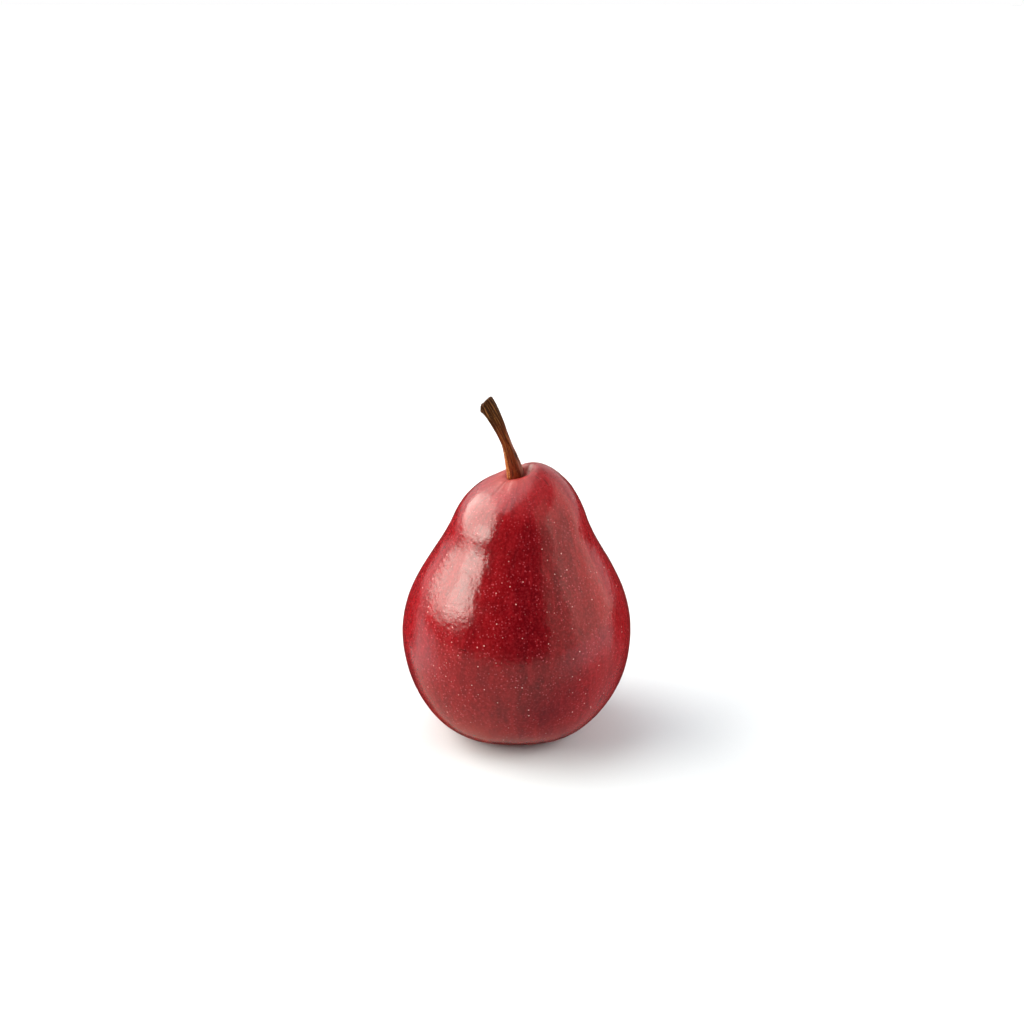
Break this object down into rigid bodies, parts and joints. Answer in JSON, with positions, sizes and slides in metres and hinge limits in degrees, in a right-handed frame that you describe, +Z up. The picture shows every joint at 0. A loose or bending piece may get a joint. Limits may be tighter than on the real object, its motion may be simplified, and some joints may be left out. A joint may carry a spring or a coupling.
{
  "type": "pear",
  "caption": "Whole fresh red-skinned pear with a stout belly, a tapering neck and its woody stem, standing upright on its base.",
  "frame": {"origin": "on the surface that the pear stands on, under the middle of its overall width and depth", "axes": "+Z up through the crown; +X towards the fleshy lip beside the stem, away from the side that the stem leans to; +Y away from the front"},
  "size_m": [0.0742, 0.0738, 0.1125],
  "materials": {
    "skin": "satin",
    "bark": "matte",
    "dried_sepal": "matte",
    "dried_stamen": "matte"
  },
  "bodies": {
    "root": {"fruit": "skin", "stem": "bark", "sepal_1": "dried_sepal", "sepal_2": "dried_sepal", "sepal_3": "dried_sepal", "sepal_4": "dried_sepal", "sepal_5": "dried_sepal", "stamen_cup": "dried_stamen"}
  },
  "joints": []
}
